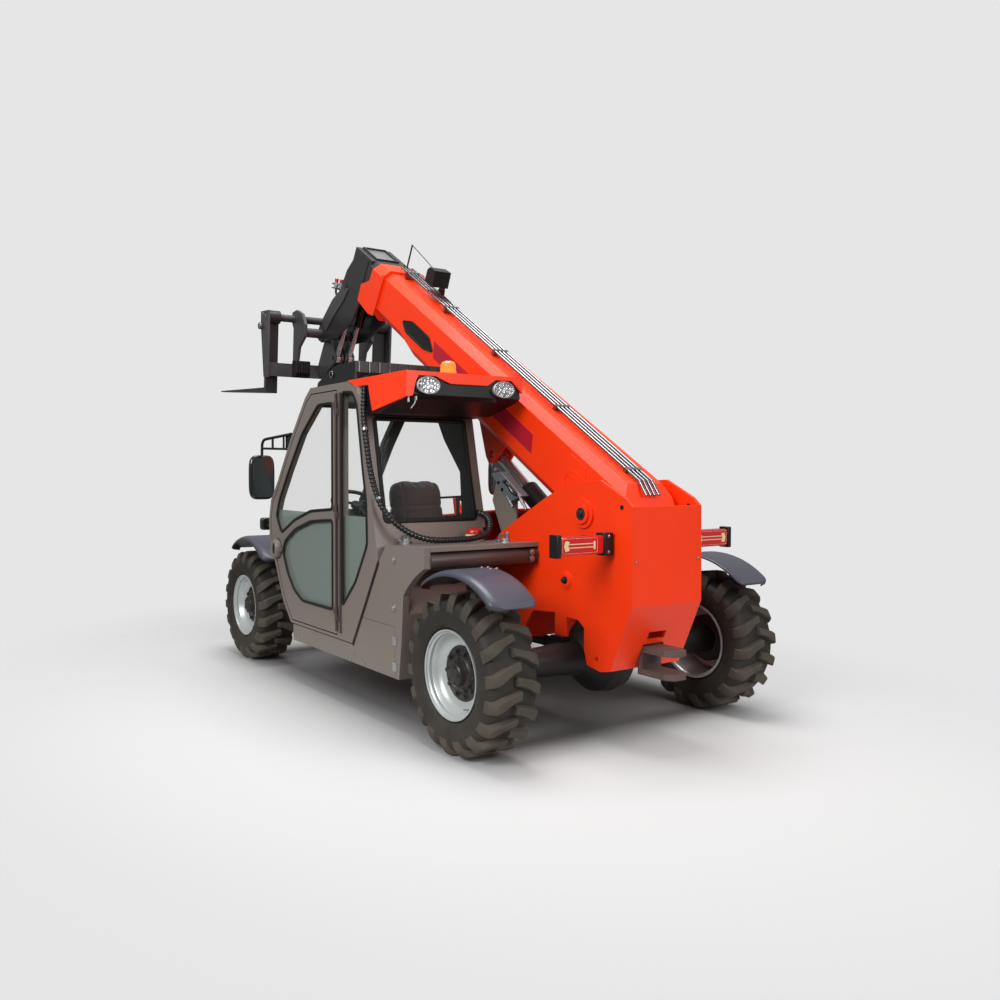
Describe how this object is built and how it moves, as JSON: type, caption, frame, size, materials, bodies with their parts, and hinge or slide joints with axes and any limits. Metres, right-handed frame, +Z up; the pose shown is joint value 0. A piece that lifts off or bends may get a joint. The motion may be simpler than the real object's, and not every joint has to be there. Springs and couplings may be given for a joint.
{
  "type": "telehandler",
  "caption": "Compact telehandler with side cab, two-stage boom, pallet fork carriage, engine hood, steered front axle and fixed rear axle.",
  "frame": {"origin": "centre of the parked machine's outline, on the floor", "axes": "+X to the machine's left, +Y to its rear, +Z up; the forks point to -Y"},
  "size_m": [2.33, 4.9816, 3.1373],
  "materials": {
    "tyre": "black rubber",
    "wheel_paint": "silver-white paint, satin",
    "machine_orange": "gloss paint",
    "cab_grey": "satin paint",
    "axle_black": "satin paint",
    "head_black": "satin paint",
    "guard_grey": "matt moulded plastic",
    "window_glass": "tinted safety glass",
    "chrome_rod": "polished",
    "seat_cover": "woven cover on foam",
    "trim_black": "matt plastic",
    "lamp_red": "clear red lens",
    "lamp_clear": "clear lens",
    "lamp_amber": "clear amber lens",
    "hitch_steel": "dull primer",
    "engine_iron": "painted casting",
    "valve_alloy": "plated"
  },
  "bodies": {
    "chassis": {"frame_left": "machine_orange", "frame_right": "machine_orange", "cross_members": "machine_orange", "rear_plate": "machine_orange", "boom_pins": "head_black", "frame_brackets": "axle_black", "cab_hose": "trim_black", "tow_hitch": "hitch_steel", "engine_block": "engine_iron", "front_axle": "axle_black", "rear_axle": "axle_black", "fender_rear_left": "guard_grey", "fender_rear_right": "guard_grey", "cab_frame": "cab_grey", "cab_glass": "window_glass", "cab_roof": "machine_orange", "roof_guard": "trim_black", "seat": "seat_cover", "console": "trim_black", "side_deck": "cab_grey", "cross_tank": "cab_grey", "valve_block": "valve_alloy", "right_skirt": "cab_grey", "tail_lamps": "lamp_red", "work_lamps": "lamp_clear", "beacon": "lamp_amber", "mirrors": "trim_black"},
    "cab_door": {"door": "cab_grey", "door_glass": "window_glass"},
    "engine_hood": {"hood": "machine_orange"},
    "boom": {"boom_outer": "machine_orange", "boom_pipes": "chrome_rod", "boom_lamp": "trim_black"},
    "boom_stage": {"boom_inner": "head_black", "boom_head": "head_black"},
    "fork_carriage": {"carriage": "head_black", "forks": "head_black"},
    "lift_barrel": {"lift_barrel": "head_black"},
    "lift_rod": {"lift_rod": "chrome_rod"},
    "tilt_barrels": {"tilt_barrels": "head_black"},
    "tilt_rods": {"tilt_rods": "chrome_rod"},
    "knuckle_front_left": {"knuckle_front_left": "axle_black", "fender_front_left": "guard_grey"},
    "knuckle_front_right": {"knuckle_front_right": "axle_black", "fender_front_right": "guard_grey"},
    "wheel_front_left": {"tyre_front_left": "tyre", "wheel_front_left": "wheel_paint"},
    "wheel_front_right": {"tyre_front_right": "tyre", "wheel_front_right": "wheel_paint"},
    "wheel_rear_left": {"tyre_rear_left": "tyre", "wheel_rear_left": "wheel_paint"},
    "wheel_rear_right": {"tyre_rear_right": "tyre", "wheel_rear_right": "wheel_paint"}
  },
  "joints": [
    {"name": "steer_front_left", "type": "hinge", "parent": "chassis", "child": "knuckle_front_left", "pos_m": [0.721, -0.8085, 0.402], "axis": [0, 0, 1], "range_deg": [-30, 30]},
    {"name": "steer_front_right", "type": "hinge", "parent": "chassis", "child": "knuckle_front_right", "pos_m": [-0.721, -0.8085, 0.402], "axis": [0, 0, 1], "range_deg": [-30, 30]},
    {"name": "roll_front_left", "type": "hinge", "parent": "knuckle_front_left", "child": "wheel_front_left", "pos_m": [0.871, -0.8085, 0.402], "axis": [1, 0, 0], "continuous": true},
    {"name": "roll_front_right", "type": "hinge", "parent": "knuckle_front_right", "child": "wheel_front_right", "pos_m": [-0.871, -0.8085, 0.402], "axis": [1, 0, 0], "continuous": true},
    {"name": "roll_rear_left", "type": "hinge", "parent": "chassis", "child": "wheel_rear_left", "pos_m": [0.871, 1.9185, 0.402], "axis": [1, 0, 0], "continuous": true},
    {"name": "roll_rear_right", "type": "hinge", "parent": "chassis", "child": "wheel_rear_right", "pos_m": [-0.871, 1.9185, 0.402], "axis": [1, 0, 0], "continuous": true},
    {"name": "boom_lift", "type": "hinge", "parent": "chassis", "child": "boom", "pos_m": [0, 2.06, 1.182], "axis": [-1, 0, 0], "range_deg": [-32.5, 35]},
    {"name": "boom_extend", "type": "slide", "parent": "boom", "child": "boom_stage", "axis": [0, -0.8429, 0.538], "range_m": [0, 2]},
    {"name": "carriage_tilt", "type": "hinge", "parent": "boom_stage", "child": "fork_carriage", "pos_m": [0, -1.21997, 2.54481], "axis": [1, 0, 0], "range_deg": [-38, 42]},
    {"name": "lift_barrel_swing", "type": "hinge", "parent": "chassis", "child": "lift_barrel", "pos_m": [0, 1.925, 0.823], "axis": [-1, 0, 0], "range_deg": [-33, 33]},
    {"name": "lift_rod_slide", "type": "slide", "parent": "lift_barrel", "child": "lift_rod", "axis": [0, -0.7981, 0.6025], "range_m": [-0.215, 0.215]},
    {"name": "tilt_barrel_swing", "type": "hinge", "parent": "boom_stage", "child": "tilt_barrels", "pos_m": [0, -0.78621, 2.85637], "axis": [1, 0, 0], "range_deg": [-7, 8]},
    {"name": "tilt_rod_slide", "type": "slide", "parent": "tilt_barrels", "child": "tilt_rods", "axis": [0, -0.5399, -0.8417], "range_m": [-0.145, 0.13]},
    {"name": "door_swing", "type": "hinge", "parent": "chassis", "child": "cab_door", "pos_m": [1.012, 0.731, 1.18], "axis": [0, 0, 1], "range_deg": [0, 78]},
    {"name": "hood_lift", "type": "hinge", "parent": "chassis", "child": "engine_hood", "pos_m": [-0.262, 0.555, 1.2], "axis": [0, 1, 0], "range_deg": [0, 50]}
  ],
  "couplings": [
    {"joint": "steer_front_right", "follows": "steer_front_left", "ratio": 1},
    {"joint": "lift_barrel_swing", "follows": "boom_lift", "ratio": 0.9175},
    {"joint": "lift_rod_slide", "follows": "boom_lift", "m_per_rad": 0.3499},
    {"joint": "tilt_barrel_swing", "follows": "carriage_tilt", "ratio": 0.1625},
    {"joint": "tilt_rod_slide", "follows": "carriage_tilt", "m_per_rad": -0.191}
  ]
}
